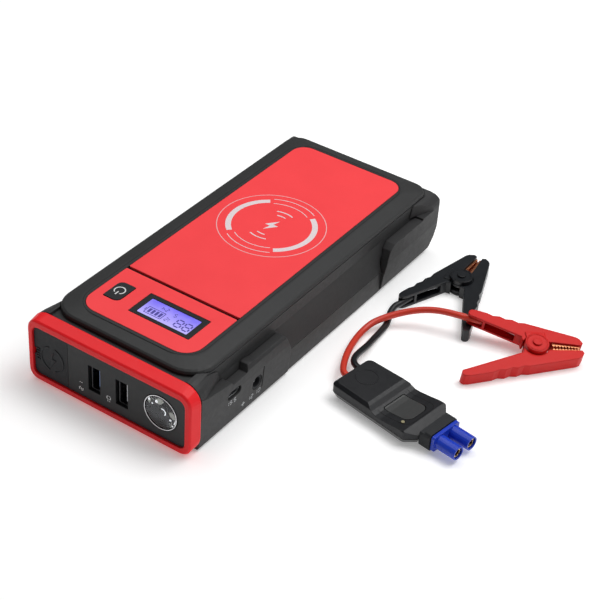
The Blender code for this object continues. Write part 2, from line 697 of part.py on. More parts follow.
def make_relay():
    foot = [(relay_plan(inset), z) for inset, z in
            ((2.6, 0.0), (1.2, 1.6), (0.0, RELAY_SPLIT - GAP / 2))]
    base = loft("relay_base", foot, "Z")
    cut(base, relay_hollow(1.6, 20.0))
    top = relay_shell()
    cut(top, prism("button_well", boost_outline(0.0), 0.0, 20.0))
    for y, z in cable_bores().values():
        radius = CABLE_DIAMETER / 2 + GAP
        for case in (base, top):
            cut(case, prism("bore", circle(y, z, radius, 12), -4.0, 1.9, "X"))
    cut(top, prism("led_hole", circle(*STATUS_LED, 1.2, 12), 4.0, 20.0))
    button = prism("boost_button", boost_outline(GAP), 4.7, 12.0, "Z", "charcoal")
    cut(button, prism("profile", ABOVE_RELAY, -20, 20, "Y"))
    join(button, prism("skirt", boost_outline(-1.0), 3.6, 4.9))
    led = prism("status_led", circle(*STATUS_LED, 0.9, 12), 6.4, 8.6, "Z", "white")
    for piece in (base, top, button, led):
        piece.matrix_world = relay_matrix()
        shade(piece)
    x0, x1, _ = BOOST_BUTTON
    middle = relay_matrix() @ (Vector(((x0 + x1) / 2, 0.0, 7.6)) * MM)
    hang_on_empty(button, middle / MM, "boost_button_axis")


def make_plug():
    collar = prism("plug_collar", rounded_box(-10.0, 10.0, 0.9, 10.6, 2.2, 2.2, 3), 50.1, 56.2, "X", "rubber")
    cut(collar, prism("waist", rounded_box(-30, 30, 9.6, 20, 0, 0, 1), 50.0, 52.6, "X"))
    housing = prism("plug_housing", rounded_box(-9.2, 9.2, 1.6, 9.9, 1.2, 1.2, 3), 56.5, 58.3, "X", "blue")
    for side in (-1, 1):
        y = side * CONTACT_PITCH / 2
        join(housing, prism("barrel", circle(y, 5.75, 3.6, 20), 57.6, 69.4, "X"))
    for label, side in (("positive", 1), ("negative", -1)):
        y = side * CONTACT_PITCH / 2
        cut(housing, prism("bore", circle(y, 5.75, 2.9, 20), 62.0, 75.0, "X"))
        contact = prism("plug_contact_" + label, circle(y, 5.75, 2.5, 16), 62.3, 68.6, "X", "gold")
        cut(contact, prism("bore", circle(y, 5.75, 1.7, 16), 63.6, 75.0, "X"))
        contact.matrix_world = relay_matrix()
        shade(contact)
    for piece in (collar, housing):
        piece.matrix_world = relay_matrix()
        shade(piece)


# ---------------------------------------------------------------- clamps

def on_clamp(side, distance, depth):
    """Point on one half: distance back along its outer edge, depth in from that edge."""
    angle = math.radians(CLAMP_SLOPE)
    x = -distance * math.cos(angle) - depth * math.sin(angle)
    y = CLAMP_HALF_WIDTH + distance * math.sin(angle) - depth * math.cos(angle)
    return x, side * y


def handle_depth(distance):
    """Width of a handle, which tapers towards its end."""
    return max(4.3, 10.0 - 0.177 * distance)


def clamp_outline(side):
    """One half seen from above: jaw, straight outer edge with grip waves, handle, pivot arch."""
    (rear_x, rear_y), (tip_x, tip_y) = JAW_EDGE
    outline = [(tip_x, side * tip_y), (tip_x + 0.9, side * (tip_y + 1.6)), on_clamp(side, -23.4, 0.6),
               on_clamp(side, -21.5, 0.0)]
    waves, start, run = 3, 4.5, 19.5
    for i in range(4 * waves + 1):
        dip = 0.4 * (1.0 - math.cos(i * math.pi / 2))
        outline.append(on_clamp(side, start + run * i / (4 * waves), dip))
    end = HANDLE_LENGTH[side]
    tip = handle_depth(end)
    outline += [on_clamp(side, end - 3.4, 0.0), on_clamp(side, end - 1.2, 0.45),
                on_clamp(side, end - 0.2, 0.35 * tip), on_clamp(side, end, 0.65 * tip),
                on_clamp(side, end - 0.9, 0.95 * tip), on_clamp(side, end - 2.6, handle_depth(end - 2.6)),
                on_clamp(side, 4.6, handle_depth(4.6)), (-6.7, side * 2.6)]
    outline += [(x, side * y) for x, y in arc((0, 0), CLAMP_ARCH, 155, 24, 7)]
    outline.append((rear_x, side * rear_y))
    return outline


def handle_pocket(side, start, end, wall):
    """Channel along a handle, open on its inner side."""
    corners = [on_clamp(side, start, wall), on_clamp(side, end, wall), on_clamp(side, end, 13.0),
               on_clamp(side, start, 13.0)]
    return prism("pocket", corners, CLAMP_WEB, CLAMP_THICKNESS - CLAMP_WEB)


def ear(side, low, high, link_high):
    plate = prism("ear", circle(0, 0, CLAMP_EAR, 24), low, high)
    link = [(-4.4, side * 3.0), (4.4, side * 3.0), (5.0, side * 7.8), (-5.0, side * 7.8)]
    return join(plate, prism("link", link, low, link_high))


CLAMP_EARS = {1: ((0.0, 1.2, 1.2), (6.8, 9.0, 7.5)), -1: ((1.5, 2.6, 2.6), (5.3, 6.5, 6.5))}


def clamp_half(name, side, look):
    half = prism(name, clamp_outline(side), 0.0, CLAMP_THICKNESS, "Z", look)
    length = HANDLE_LENGTH[side]
    if side > 0:
        cut(half, handle_pocket(side, CRIMP_RIB[1], length + 4.0, CLAMP_WALL))
        cut(half, handle_pocket(side, 8.0, CRIMP_RIB[0], CLAMP_WALL + 0.6))
    else:
        cut(half, handle_pocket(side, 8.0, length - 4.5, CLAMP_WALL + 0.6))
    for low, high, link_high in CLAMP_EARS[side]:
        join(half, ear(side, low, high, link_high))
    cut(half, prism("pin_hole", circle(0, 0, 1.5, 12), -1.0, 20.0))
    return half


def jaw_edge(x):
    (rear_x, rear_y), (tip_x, tip_y) = JAW_EDGE
    return rear_y + (tip_y - rear_y) * (x - rear_x) / (tip_x - rear_x)


def jaw_teeth(name, side):
    """Copper strip along a jaw's inner edge, toothed towards the other jaw."""
    start, end, teeth = 8.2, 22.2, 9
    outline = [(start, side * (jaw_edge(start) - GAP)), (end, side * (jaw_edge(end) - GAP))]
    for i in range(2 * teeth, -1, -1):
        x = start + (end - start) * i / (2 * teeth)
        outline.append((x, side * (jaw_edge(x) - 0.85 if i % 2 == 0 else 0.3)))
    return prism(name, outline, 1.0, CLAMP_THICKNESS - 1.0, "Z", "copper")


def pivot_pin(name):
    top = CLAMP_EARS[1][1][1]
    pin = prism(name, circle(0, 0, 1.2, 12), 0.1, top + 0.4, "Z", "steel")
    return join(pin, prism("head", circle(0, 0, 2.3, 16), top + GAP, top + 0.8))


def torsion_spring(name):
    """A turn and a half of wire round the pivot pin."""
    steps, mean_radius, bottom, rise = 14, 3.5, 3.3, 1.25
    count = steps * 3 // 2
    points = []
    for i in range(count + 1):
        angle = math.radians(100) + 2 * math.pi * i / steps
        height = bottom + rise * i / count
        points.append((mean_radius * math.cos(angle), mean_radius * math.sin(angle), height))
    return tube(name, points, 0.7, "steel", 1)


def make_clamp(colour, matrix):
    look = "red" if colour == "red" else "rubber"
    pieces = [clamp_half(colour + "_clamp_fixed", 1, look), clamp_half(colour + "_clamp_moving", -1, look),
              jaw_teeth(colour + "_teeth_fixed", 1), jaw_teeth(colour + "_teeth_moving", -1),
              pivot_pin(colour + "_pivot_pin"), torsion_spring(colour + "_spring")]
    for piece in pieces:
        piece.matrix_world = matrix
        if piece.type == "MESH":
            shade(piece)


def black_clamp_matrix():
    place = Matrix.Translation(Vector((*BLACK_PIVOT, 0.0)) * MM)
    return place @ Matrix.Rotation(math.radians(BLACK_TURN), 4, "Z")


def red_clamp_matrix():
    """Flat pose tipped about the edge from the moving jaw's tip to the moving handle's end."""
    flat = Matrix.Translation(Vector((*RED_PIVOT, 0.0)) * MM)
    flat = flat @ Matrix.Rotation(math.radians(RED_TURN), 4, "Z")
    tip = flat @ (Vector((*on_clamp(-1, -23.4, 0.6), 0.0)) * MM)
    heel = flat @ (Vector((*on_clamp(-1, HANDLE_LENGTH[-1] - 3.4, 0.0), 0.0)) * MM)
    lean = Matrix.Rotation(math.radians(RED_TILT), 4, tip - heel)
    return Matrix.Translation(tip) @ lean @ Matrix.Translation(-tip) @ flat


# ---------------------------------------------------------------- cables

def tube(name, points, diameter, look, resolution=2):
    curve = bpy.data.curves.new(name, "CURVE")
    curve.dimensions = "3D"
    curve.bevel_depth = diameter / 2 * MM
    curve.bevel_resolution = resolution
    curve.use_fill_caps = True
    spline = curve.splines.new("POLY")
    spline.points.add(len(points) - 1)
    for point, place in zip(spline.points, points):
        point.co = (*(Vector(place) * MM), 1.0)
    curve.materials.append(material(look))
    made = bpy.data.objects.new(name, curve)
    bpy.context.scene.collection.objects.link(made)
    return made


def through(knots, steps):
    """Dense points on a smooth curve through every knot."""
    dense = []
    for i in range(len(knots) - 1):
        before = knots[max(i - 1, 0)]
        after = knots[min(i + 2, len(knots) - 1)]
        here, there = knots[i], knots[i + 1]
        start = here + (there - before) / 6
        end = there - (after - here) / 6
        dense += interpolate_bezier(here, start, end, there, steps)[:-1]
    return dense + [knots[-1]]


def evenly(dense, spacing):
    """Points at equal distances along a dense line."""
    total = sum((b - a).length for a, b in zip(dense, dense[1:]))
    pitch = total / max(2, round(total / spacing))
    even = [dense[0]]
    walked, target = 0.0, pitch
    for a, b in zip(dense, dense[1:]):
        step = (b - a).length
        while walked + step >= target and target < total - pitch / 2:
            even.append(a.lerp(b, (target - walked) / step))
            target += pitch
        walked += step
    return even + [dense[-1]]


def smooth_route(points, spacing):
    """Cable centre line: a straight run into each end piece, evenly spaced points between."""
    knots = [Vector(p) for p in points]
    steps = 24
    inner = through(knots, steps)[steps - 1:1 - steps]
    return [knots[0]] + evenly(inner, spacing) + [knots[-1]]


RED_ROUTE = [
    (78.66, -20.26, 6.0), (74.6, -19.6, 6.0), (71.3, -17.5, 5.9), (67.9, -11.6, 5.6),
    (64.6, -3.6, 4.8), (62.2, 4.2, 3.9), (60.4, 12.4, 3.2), (60.0, 19.6, 3.4), (61.2, 25.6, 4.5),
    (64.2, 31.2, 5.6), (68.3, 36.4, 6.8), (73.2, 41.0, 8.2), (78.8, 44.6, 9.6), (84.8, 46.9, 10.8),
    (90.4, 48.2, 11.5), (95.47, 49.65, 11.43), (99.18, 51.08, 11.02), (107.25, 54.19, 10.13),
]

BLACK_ROUTE = [
    (79.99, -11.86, 6.0), (76.1, -11.24, 6.0), (73.0, -9.8, 5.9), (70.7, -7.1, 5.7), (69.4, -3.1, 5.2),
    (68.8, 1.4, 4.5), (68.5, 5.9, 3.8), (68.0, 10.6, 3.0), (67.3, 15.6, 2.4), (66.6, 23.4, 2.0),
    (65.8, 30.6, 1.95), (64.1, 36.0, 2.2), (62.4, 40.6, 2.9), (61.9, 45.2, 3.45), (62.6, 48.78, 3.5),
    (64.32, 57.31, 3.5),
]


def make_cables():
    for name, route, look in (("red_cable", RED_ROUTE, "red"), ("black_cable", BLACK_ROUTE, "rubber")):
        tube(name, smooth_route(route, 2.0 * CABLE_DIAMETER), CABLE_DIAMETER, look)


# ---------------------------------------------------------------- assembly

def main():
    clear_scene()
    make_upper_case()
    make_lower_case()
    make_grip_pads()
    make_case_screws()
    for label, side in (("left", -1), ("right", 1)):
        make_front_bumper(label, side)
        make_rear_bumper(label, side)
    make_front_bezel()
    make_port_plate()
    make_socket_cover()
    make_jump_socket()
    make_usb_ports()
    make_lamp()
    make_side_ports()
    make_control_panel()
    make_charging_pad()
    make_power_button()
    make_display()
    make_insides()
    make_relay()
    make_plug()
    make_clamp("red", red_clamp_matrix())
    make_clamp("black", black_clamp_matrix())
    make_cables()


main()
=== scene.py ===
"""Jump starter pack and its clamp lead: materials, printed marks, small details, light and camera."""
import json
import math

import bmesh
import bpy
from mathutils import Matrix, Vector
from mathutils.geometry import interpolate_bezier


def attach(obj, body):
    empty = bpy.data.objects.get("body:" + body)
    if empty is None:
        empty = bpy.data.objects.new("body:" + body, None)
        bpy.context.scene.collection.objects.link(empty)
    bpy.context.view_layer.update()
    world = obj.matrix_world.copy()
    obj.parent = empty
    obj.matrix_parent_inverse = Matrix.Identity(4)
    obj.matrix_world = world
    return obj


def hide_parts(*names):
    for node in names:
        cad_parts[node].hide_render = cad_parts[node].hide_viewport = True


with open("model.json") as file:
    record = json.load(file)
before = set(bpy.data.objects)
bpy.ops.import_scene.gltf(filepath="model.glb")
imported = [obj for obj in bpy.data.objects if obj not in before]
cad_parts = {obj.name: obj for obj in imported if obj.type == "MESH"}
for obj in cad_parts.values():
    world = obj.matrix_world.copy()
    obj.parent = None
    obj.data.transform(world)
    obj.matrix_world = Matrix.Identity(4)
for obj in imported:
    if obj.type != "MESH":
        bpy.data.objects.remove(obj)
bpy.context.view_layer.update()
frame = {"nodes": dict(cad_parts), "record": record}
NODES = frame["nodes"]
MM = 0.001


def mm(*values):
    return Vector(values) * MM


# ---------------------------------------------------------------- camera

CAMERA_LENS = 95.73
CAMERA_PLACE = (367.99, -536.78, 491.0)
CAMERA_RIGHT = (0.823192, 0.564793, 0.058002)
CAMERA_UP = (-0.376575, 0.466679, 0.800251)
CAMERA_BACK = (0.424908, -0.680602, 0.596853)


def add_camera():
    data = bpy.data.cameras.new("camera")
    data.sensor_width = 36.0
    data.lens = CAMERA_LENS
    data.clip_start = 0.05
    data.clip_end = 20.0
    camera = bpy.data.objects.new("camera", data)
    turn = Matrix((CAMERA_RIGHT, CAMERA_UP, CAMERA_BACK)).transposed().to_4x4()
    camera.matrix_world = Matrix.Translation(mm(*CAMERA_PLACE)) @ turn
    bpy.context.scene.collection.objects.link(camera)
    bpy.context.scene.camera = camera


add_camera()
bpy.context.scene.view_settings.view_transform = "Standard"


# ---------------------------------------------------------------- shader building

class Nodes:
    """Short names for building one material's node tree."""

    def __init__(self, name):
        self.material = bpy.data.materials.new(name)
        self.material.use_nodes = True
        self.tree = self.material.node_tree
        self.shader = self.tree.nodes["Principled BSDF"]
        self.place = self.tree.nodes.new("ShaderNodeTexCoord")

    def add(self, kind, **settings):
        node = self.tree.nodes.new(kind)
        for key, value in settings.items():
            setattr(node, key, value)
        return node

    def link(self, source, target):
        self.tree.links.new(source, target)

    def noise(self, scale, detail=3.0, rough=0.55, warp=0.0, stretch=None):
        node = self.add("ShaderNodeTexNoise")
        node.inputs["Scale"].default_value = scale
        node.inputs["Detail"].default_value = detail
        node.inputs["Roughness"].default_value = rough
        node.inputs["Distortion"].default_value = warp
        place = self.place.outputs["Object"]
        if stretch:
            mapping = self.add("ShaderNodeMapping")
            mapping.inputs["Scale"].default_value = stretch
            self.link(place, mapping.inputs["Vector"])
            place = mapping.outputs["Vector"]
        self.link(place, node.inputs["Vector"])
        return node.outputs["Fac"]

    def remap(self, value, low, high, to_low, to_high):
        node = self.add("ShaderNodeMapRange")
        for key, number in (("From Min", low), ("From Max", high), ("To Min", to_low), ("To Max", to_high)):
            node.inputs[key].default_value = number
        self.link(value, node.inputs["Value"])
        return node.outputs["Result"]

    def blend(self, factor, first, second):
        node = self.add("ShaderNodeMix", data_type="RGBA")
        self.link(factor, node.inputs["Factor"])
        for socket, colour in ((node.inputs["A"], first), (node.inputs["B"], second)):
            if isinstance(colour, tuple):
                socket.default_value = (*colour, 1.0)
            else:
                self.link(colour, socket)
        return node.outputs["Result"]

    def math(self, kind, first, second=None):
        node = self.add("ShaderNodeMath", operation=kind)
        for socket, value in zip(node.inputs, (first, second)):
            if value is None:
                continue
            if isinstance(value, (int, float)):
                socket.default_value = value
            else:
                self.link(value, socket)
        return node.outputs["Value"]

    def edges(self, radius):
        """About 1 on sharp edges and 0 on flats."""
        bevel = self.add("ShaderNodeBevel", samples=6)
        bevel.inputs["Radius"].default_value = radius
        shape = self.add("ShaderNodeNewGeometry")
        dot = self.add("ShaderNodeVectorMath", operation="DOT_PRODUCT")
        self.link(bevel.outputs["Normal"], dot.inputs[0])
        self.link(shape.outputs["Normal"], dot.inputs[1])
        return self.remap(dot.outputs["Value"], 0.985, 0.75, 0.0, 1.0)

    def grain(self, height, depth, strength, soften):
        """Bump over softened edges."""
        bump = self.add("ShaderNodeBump")
        bump.inputs["Strength"].default_value = strength
        bump.inputs["Distance"].default_value = depth
        self.link(height, bump.inputs["Height"])
        if soften:
            bevel = self.add("ShaderNodeBevel", samples=6)
            bevel.inputs["Radius"].default_value = soften
            self.link(bevel.outputs["Normal"], bump.inputs["Normal"])
        self.link(bump.outputs["Normal"], self.shader.inputs["Normal"])


def shade(colour):
    """Scale a colour: shade(colour)(0.9) is a tenth darker."""
    return lambda factor: tuple(min(1.0, c * factor) for c in colour)


CLOUD_SCALE = 55.0     # noise cells per metre
PATCH_SCALE = 420.0
EDGE_WIDTH = 0.0007


def moulded(name, colour, rough, grain=0.35, depth=0.00004, strength=0.35, soften=0.0004,
            mottle=0.06, wear=0.25, coat=0.0, shine=0.32):
    """Moulded plastic or rubber: fine spark texture, faint mottling, rubbed edges.

    grain is the texture's pitch in mm; depth and soften are in metres.
    """
    n = Nodes(name)
    tone = shade(colour)
    broad = n.noise(CLOUD_SCALE, 2.0)
    middle = n.noise(PATCH_SCALE, 4.0, 0.6)
    fine = n.noise(1.0 / (grain * MM), 3.0, 0.6)
    base = n.blend(n.remap(broad, 0.3, 0.7, 0.0, 1.0), tone(1.0 - mottle), tone(1.0 + mottle))
    base = n.blend(n.remap(middle, 0.35, 0.75, 0.0, 0.5), base, tone(1.0 + mottle * 0.8))
    rubbed = n.math("MULTIPLY", n.edges(EDGE_WIDTH), n.remap(middle, 0.35, 0.65, 0.2, 1.0))
    rubbed = n.math("MULTIPLY", rubbed, wear)
    base = n.blend(rubbed, base, tuple(min(1.0, c * 1.7 + 0.035) for c in colour))
    n.link(base, n.shader.inputs["Base Color"])
    gloss = n.math("ADD", n.remap(middle, 0.3, 0.7, rough - 0.05, rough + 0.05),
                   n.remap(broad, 0.3, 0.7, -0.025, 0.025))
    gloss = n.math("SUBTRACT", gloss, n.math("MULTIPLY", rubbed, 0.2))
    n.link(gloss, n.shader.inputs["Roughness"])
    n.shader.inputs["Specular IOR Level"].default_value = shine
    if coat:
        n.shader.inputs["Coat Weight"].default_value = coat
        n.shader.inputs["Coat Roughness"].default_value = 0.12
    n.grain(fine, depth, strength, soften)
    return n.material


def metal(name, colour, rough, brush=(1.0, 1.0, 1.0), strength=0.15):
    """Plated or brushed metal with fine scratches and slight tarnish."""
    n = Nodes(name)
    tone = shade(colour)
    stain = n.noise(300.0, 4.0, 0.6)
    lines = n.noise(2600.0, 3.0, 0.6, stretch=brush)
    n.link(n.blend(n.remap(stain, 0.35, 0.7, 0.0, 1.0), tone(1.0), tone(0.82)),
           n.shader.inputs["Base Color"])
    n.link(n.remap(lines, 0.3, 0.7, rough - 0.06, rough + 0.09), n.shader.inputs["Roughness"])
    n.shader.inputs["Metallic"].default_value = 1.0
    n.grain(lines, 0.00002, strength, 0.00015)
    return n.material


def clear(name, colour, rough=0.03):
    """Clear moulded lens."""
    n = Nodes(name)
    n.shader.inputs["Base Color"].default_value = (*colour, 1.0)
    n.shader.inputs["Transmission Weight"].default_value = 1.0
    n.shader.inputs["IOR"].default_value = 1.25
    haze = n.noise(260.0, 3.0)
    n.link(n.remap(haze, 0.3, 0.7, rough, rough + 0.05), n.shader.inputs["Roughness"])
    return n.material


def ink(name, colour, rough=0.5, glow=0.0):
    """Screen-printed paint: slightly uneven, slightly worn. With glow it also serves for the lamp's painted
    glints, which glow though they are no lamp.
    """
    n = Nodes(name)
    tone = shade(colour)
    patch = n.noise(900.0, 4.0, 0.65)
    n.link(n.blend(n.remap(patch, 0.35, 0.7, 0.0, 1.0), tone(1.0), tone(0.9)),
           n.shader.inputs["Base Color"])
    n.link(n.remap(patch, 0.3, 0.7, rough - 0.08, rough + 0.08), n.shader.inputs["Roughness"])
    if glow:
        n.shader.inputs["Emission Color"].default_value = (*colour, 1.0)
        n.shader.inputs["Emission Strength"].default_value = glow
    n.grain(patch, 0.00001, 0.2, 0.0)
    return n.material


def screen_material():
    """Back-lit screen: violet at the back edge, paler towards the front, faint pixel grid."""
    n = Nodes("lit_screen")
    split = n.add("ShaderNodeSeparateXYZ")
    n.link(n.place.outputs["Object"], split.inputs["Vector"])
    rise = n.remap(split.outputs["Y"], -0.0773, -0.0647, 0.0, 1.0)
    glow = n.blend(rise, (0.50, 0.44, 0.95), (0.13, 0.10, 0.80))
    cloud = n.noise(160.0, 2.0)
    glow = n.blend(n.remap(cloud, 0.35, 0.7, 0.0, 0.35), glow, (0.42, 0.36, 0.92))
    n.link(glow, n.shader.inputs["Base Color"])
    n.link(glow, n.shader.inputs["Emission Color"])
    n.shader.inputs["Emission Strength"].default_value = 0.26
    n.shader.inputs["Coat Weight"].default_value = 0.6
    n.shader.inputs["Coat Roughness"].default_value = 0.05
    dots = n.add("ShaderNodeTexVoronoi")
    dots.inputs["Scale"].default_value = 2600.0
    n.link(n.place.outputs["Object"], dots.inputs["Vector"])
    n.link(n.remap(dots.outputs["Distance"], 0.0, 0.6, 0.25, 0.4), n.shader.inputs["Roughness"])
    n.grain(dots.outputs["Distance"], 0.00001, 0.1, 0.0)
    return n.material


MATERIALS = {
    "case": moulded("case_black", (0.027, 0.027, 0.0275), 0.50,
                    grain=0.45, depth=0.00005, strength=0.5),
    "deck": moulded("deck_black", (0.027, 0.0275, 0.028), 0.52, grain=0.4, strength=0.4),
    "bumper": moulded("bumper_black", (0.029, 0.029, 0.030), 0.55,
                      grain=0.5, depth=0.00006, strength=0.5, soften=0.0006),
    "plate": moulded("plate_black", (0.013, 0.0145, 0.0155), 0.45, grain=0.4, strength=0.4),
    "rubber": moulded("soft_rubber", (0.015, 0.0165, 0.019), 0.62,
                      grain=0.3, depth=0.00003, strength=0.4),
    "panel_red": moulded("panel_red", (0.95, 0.060, 0.068), 0.42,
                         grain=0.22, depth=0.00002, strength=0.25, soften=0.0003, mottle=0.02,
                         wear=0.1),
    "bezel_red": moulded("bezel_red", (0.88, 0.016, 0.022), 0.36,
                         grain=0.3, depth=0.00002, strength=0.2, soften=0.0007, mottle=0.03,
                         wear=0.15, shine=0.2),
    "clamp_red": moulded("clamp_red", (0.62, 0.012, 0.010), 0.38,
                         depth=0.00003, strength=0.25, soften=0.0008, mottle=0.03, wear=0.12,
                         shine=0.2),
    "clamp_black": moulded("clamp_black", (0.0065, 0.0080, 0.0105), 0.38,
                           depth=0.00003, strength=0.3, soften=0.0008, mottle=0.1, wear=0.12,
                           coat=0.2),
    "relay": moulded("relay_black", (0.011, 0.0115, 0.0135), 0.40,
                     depth=0.00003, strength=0.4, soften=0.0005),
    "relay_foot": moulded("relay_foot", (0.018, 0.018, 0.020), 0.32,
                          depth=0.00002, strength=0.3, soften=0.0005, wear=0.2, coat=0.6),
    "thumb_pad": moulded("thumb_pad", (0.046, 0.047, 0.047), 0.42,
                         depth=0.00003, strength=0.4, soften=0.0003),
    "cable_red": moulded("cable_red", (0.62, 0.042, 0.022), 0.38,
                         grain=0.6, depth=0.00003, strength=0.2, soften=0.0, mottle=0.04, wear=0.0,
                         coat=0.15),
    "cable_black": moulded("cable_black", (0.007, 0.008, 0.010), 0.36,
                           grain=0.6, depth=0.00003, strength=0.2, soften=0.0, mottle=0.1,
                           wear=0.0, coat=0.15),
    "blue": moulded("plug_blue", (0.010, 0.045, 0.50), 0.34,
                    grain=0.4, depth=0.00002, strength=0.2, wear=0.15, coat=0.1),
    "pale_blue": moulded("pale_blue_plastic", (0.30, 0.42, 0.72), 0.38,
                         grain=0.4, depth=0.00002, strength=0.2, soften=0.0002, mottle=0.02,
                         wear=0.0),
    "white": moulded("white_plastic", (0.74, 0.75, 0.77), 0.38,
                     grain=0.4, depth=0.00002, strength=0.2, soften=0.0002, mottle=0.02, wear=0.0),
    "dim_lamp": moulded("unlit_lamp", (0.30, 0.27, 0.16), 0.30,
                        grain=0.4, depth=0.00002, strength=0.2, soften=0.0002, mottle=0.02,
                        wear=0.0),
    "board": moulded("circuit_board", (0.02, 0.16, 0.06), 0.40,
                     grain=0.5, depth=0.00003, strength=0.3),
    "cell": moulded("cell_wrap", (0.10, 0.22, 0.45), 0.30, grain=0.8, depth=0.00003, strength=0.2),
    "steel": metal("port_steel", (0.60, 0.61, 0.63), 0.26, (1.0, 0.1, 1.0)),
    "spring": metal("spring_steel", (0.50, 0.51, 0.53), 0.30),
    # painted shade: the bowl's metal is near-black, standing in for the dark surroundings a chrome bowl
    # reflects
    "shaded_chrome": metal("lamp_chrome", (0.040, 0.040, 0.042), 0.14, (1.0, 1.0, 1.0), 0.05),
    "shell": metal("socket_shell", (0.085, 0.085, 0.090), 0.30, (1.0, 0.1, 1.0)),
    # painted highlights: glowing ink for the lamp bowl's glints, bright and half-bright
    "glint": ink("lamp_glint_paint", (0.95, 0.95, 0.97), 0.25, 0.8),
    "soft_glint": ink("lamp_soft_glint_paint", (0.50, 0.50, 0.44), 0.25, 0.12),
    "copper": metal("tooth_copper", (0.70, 0.28, 0.14), 0.30, (0.2, 1.0, 1.0), 0.3),
    "gold": metal("gold_contact", (0.83, 0.60, 0.26), 0.22),
    "lens": clear("lamp_glass", (0.93, 0.95, 0.97)),
    "screen": screen_material(),
    "print": ink("white_print", (0.80, 0.70, 0.72)),
    "white_mark": ink("white_mark", (0.74, 0.74, 0.74)),
    "faint": ink("faint_print", (0.84, 0.46, 0.47)),
    "mark": ink("label_print", (0.55, 0.57, 0.58)),
    "digit": ink("screen_digit", (0.075, 0.062, 0.36)),
    "rim": metal("lamp_rim", (0.85, 0.86, 0.88), 0.25),
    # painted shade: near-black for hollows and seams, on the line round the panels and the lamp's emitter
    # plate
    "recess_shade": moulded("painted_recess_shade", (0.010, 0.010, 0.011), 0.60),
    # painted shade: near-black for the dark of grooves that are not cut
    "groove_shade": moulded("painted_groove_shade", (0.0025, 0.0025, 0.003), 0.60, wear=0.0),
}

NODE_LOOKS = {
    "deck": ["upper_case"],
    "case": ["lower_case"],
    "bumper": ["front_bumper_left", "front_bumper_right", "rear_bumper_left", "rear_bumper_right"],
    "bezel_red": ["front_bezel"],
    "panel_red": ["control_panel", "charging_pad"],
    "plate": ["port_plate", "display_frame"],
    "rubber": ["socket_cover", "power_button", "grip_pad_front", "grip_pad_rear", "plug_collar",
               "charge_port_tongue", "dc_jack"],
    "blue": ["jump_socket", "plug_housing"],
    "pale_blue": ["usb_tongue_2"],
    "shell": ["usb_shell_1", "usb_shell_2"],
    "white": ["usb_tongue_1", "lamp_led", "button_switch", "display_module"],
    "dim_lamp": ["status_led"],
    "steel": ["charge_port_shell", "dc_pin", "case_screw_1", "case_screw_2", "case_screw_3",
              "case_screw_4"],
    "spring": ["red_spring", "black_spring"],
    # the lamp reflector takes the near-black metal of painted shade
    "shaded_chrome": ["lamp_reflector"],
    "lens": ["lamp_lens"],
    "screen": ["display_glass"],
    "board": ["main_board"],
    "cell": ["battery_cell_left", "battery_cell_right"],
    "copper": ["wireless_coil", "red_teeth_fixed", "red_teeth_moving", "black_teeth_fixed",
               "black_teeth_moving"],
    "gold": ["plug_contact_positive", "plug_contact_negative"],
    "relay": ["relay_top"],
    "relay_foot": ["relay_base"],
    "thumb_pad": ["boost_button"],
    "clamp_red": ["red_clamp_fixed", "red_clamp_moving", "red_pivot_pin"],
    "clamp_black": ["black_clamp_fixed", "black_clamp_moving", "black_pivot_pin"],
}


def dress_nodes():
    for look, names in NODE_LOOKS.items():
        for name in names:
            for slot in NODES[name].material_slots:
                slot.material = MATERIALS[look]


dress_nodes()


# ---------------------------------------------------------------- cables

CABLE = 0.0034
RED_ROUTE = [
    (78.66, -20.26, 6.0), (74.6, -19.6, 6.0), (71.3, -17.5, 5.9), (67.9, -11.6, 5.6),
    (64.6, -3.6, 4.8), (62.2, 4.2, 3.9), (60.4, 12.4, 3.2), (60.0, 19.6, 3.4), (61.2, 25.6, 4.5),
    (64.2, 31.2, 5.6), (68.3, 36.4, 6.8), (73.2, 41.0, 8.2), (78.8, 44.6, 9.6), (84.8, 46.9, 10.8),
    (90.4, 48.2, 11.5), (95.47, 49.65, 11.43), (99.18, 51.08, 11.02), (107.25, 54.19, 10.13),
]
BLACK_ROUTE = [
    (79.99, -11.86, 6.0), (76.1, -11.24, 6.0), (73.0, -9.8, 5.9), (70.7, -7.1, 5.7), (69.4, -3.1, 5.2),
    (68.8, 1.4, 4.5), (68.5, 5.9, 3.8), (68.0, 10.6, 3.0), (67.3, 15.6, 2.4), (66.6, 23.4, 2.0),
    (65.8, 30.6, 1.95), (64.1, 36.0, 2.2), (62.4, 40.6, 2.9), (61.9, 45.2, 3.45), (62.6, 48.78, 3.5),
    (64.32, 57.31, 3.5),
]


def smooth_route(points, steps):
    """Smooth curve through every point of a route."""
    knots = [mm(*p) for p in points]
    dense = []
    for i in range(len(knots) - 1):
        before = knots[max(i - 1, 0)]
        after = knots[min(i + 2, len(knots) - 1)]
        here, there = knots[i], knots[i + 1]
        start = here + (there - before) / 6
        end = there - (after - here) / 6
        dense += interpolate_bezier(here, start, end, there, steps)[:-1]
    return dense + [knots[-1]]


def wire(name, points, diameter, look, body, sides):
    """Round wire along points given in metres."""
    curve = bpy.data.curves.new(name, "CURVE")
    curve.dimensions = "3D"
    curve.bevel_depth = diameter / 2
    curve.bevel_resolution = sides
    curve.use_fill_caps = True
    spline = curve.splines.new("POLY")
    spline.points.add(len(points) - 1)
    for point, place in zip(spline.points, points):
        point.co = (*place, 1.0)
    curve.materials.append(MATERIALS[look])
    made = bpy.data.objects.new(name, curve)
    bpy.context.scene.collection.objects.link(made)
    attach(made, body)
    return made


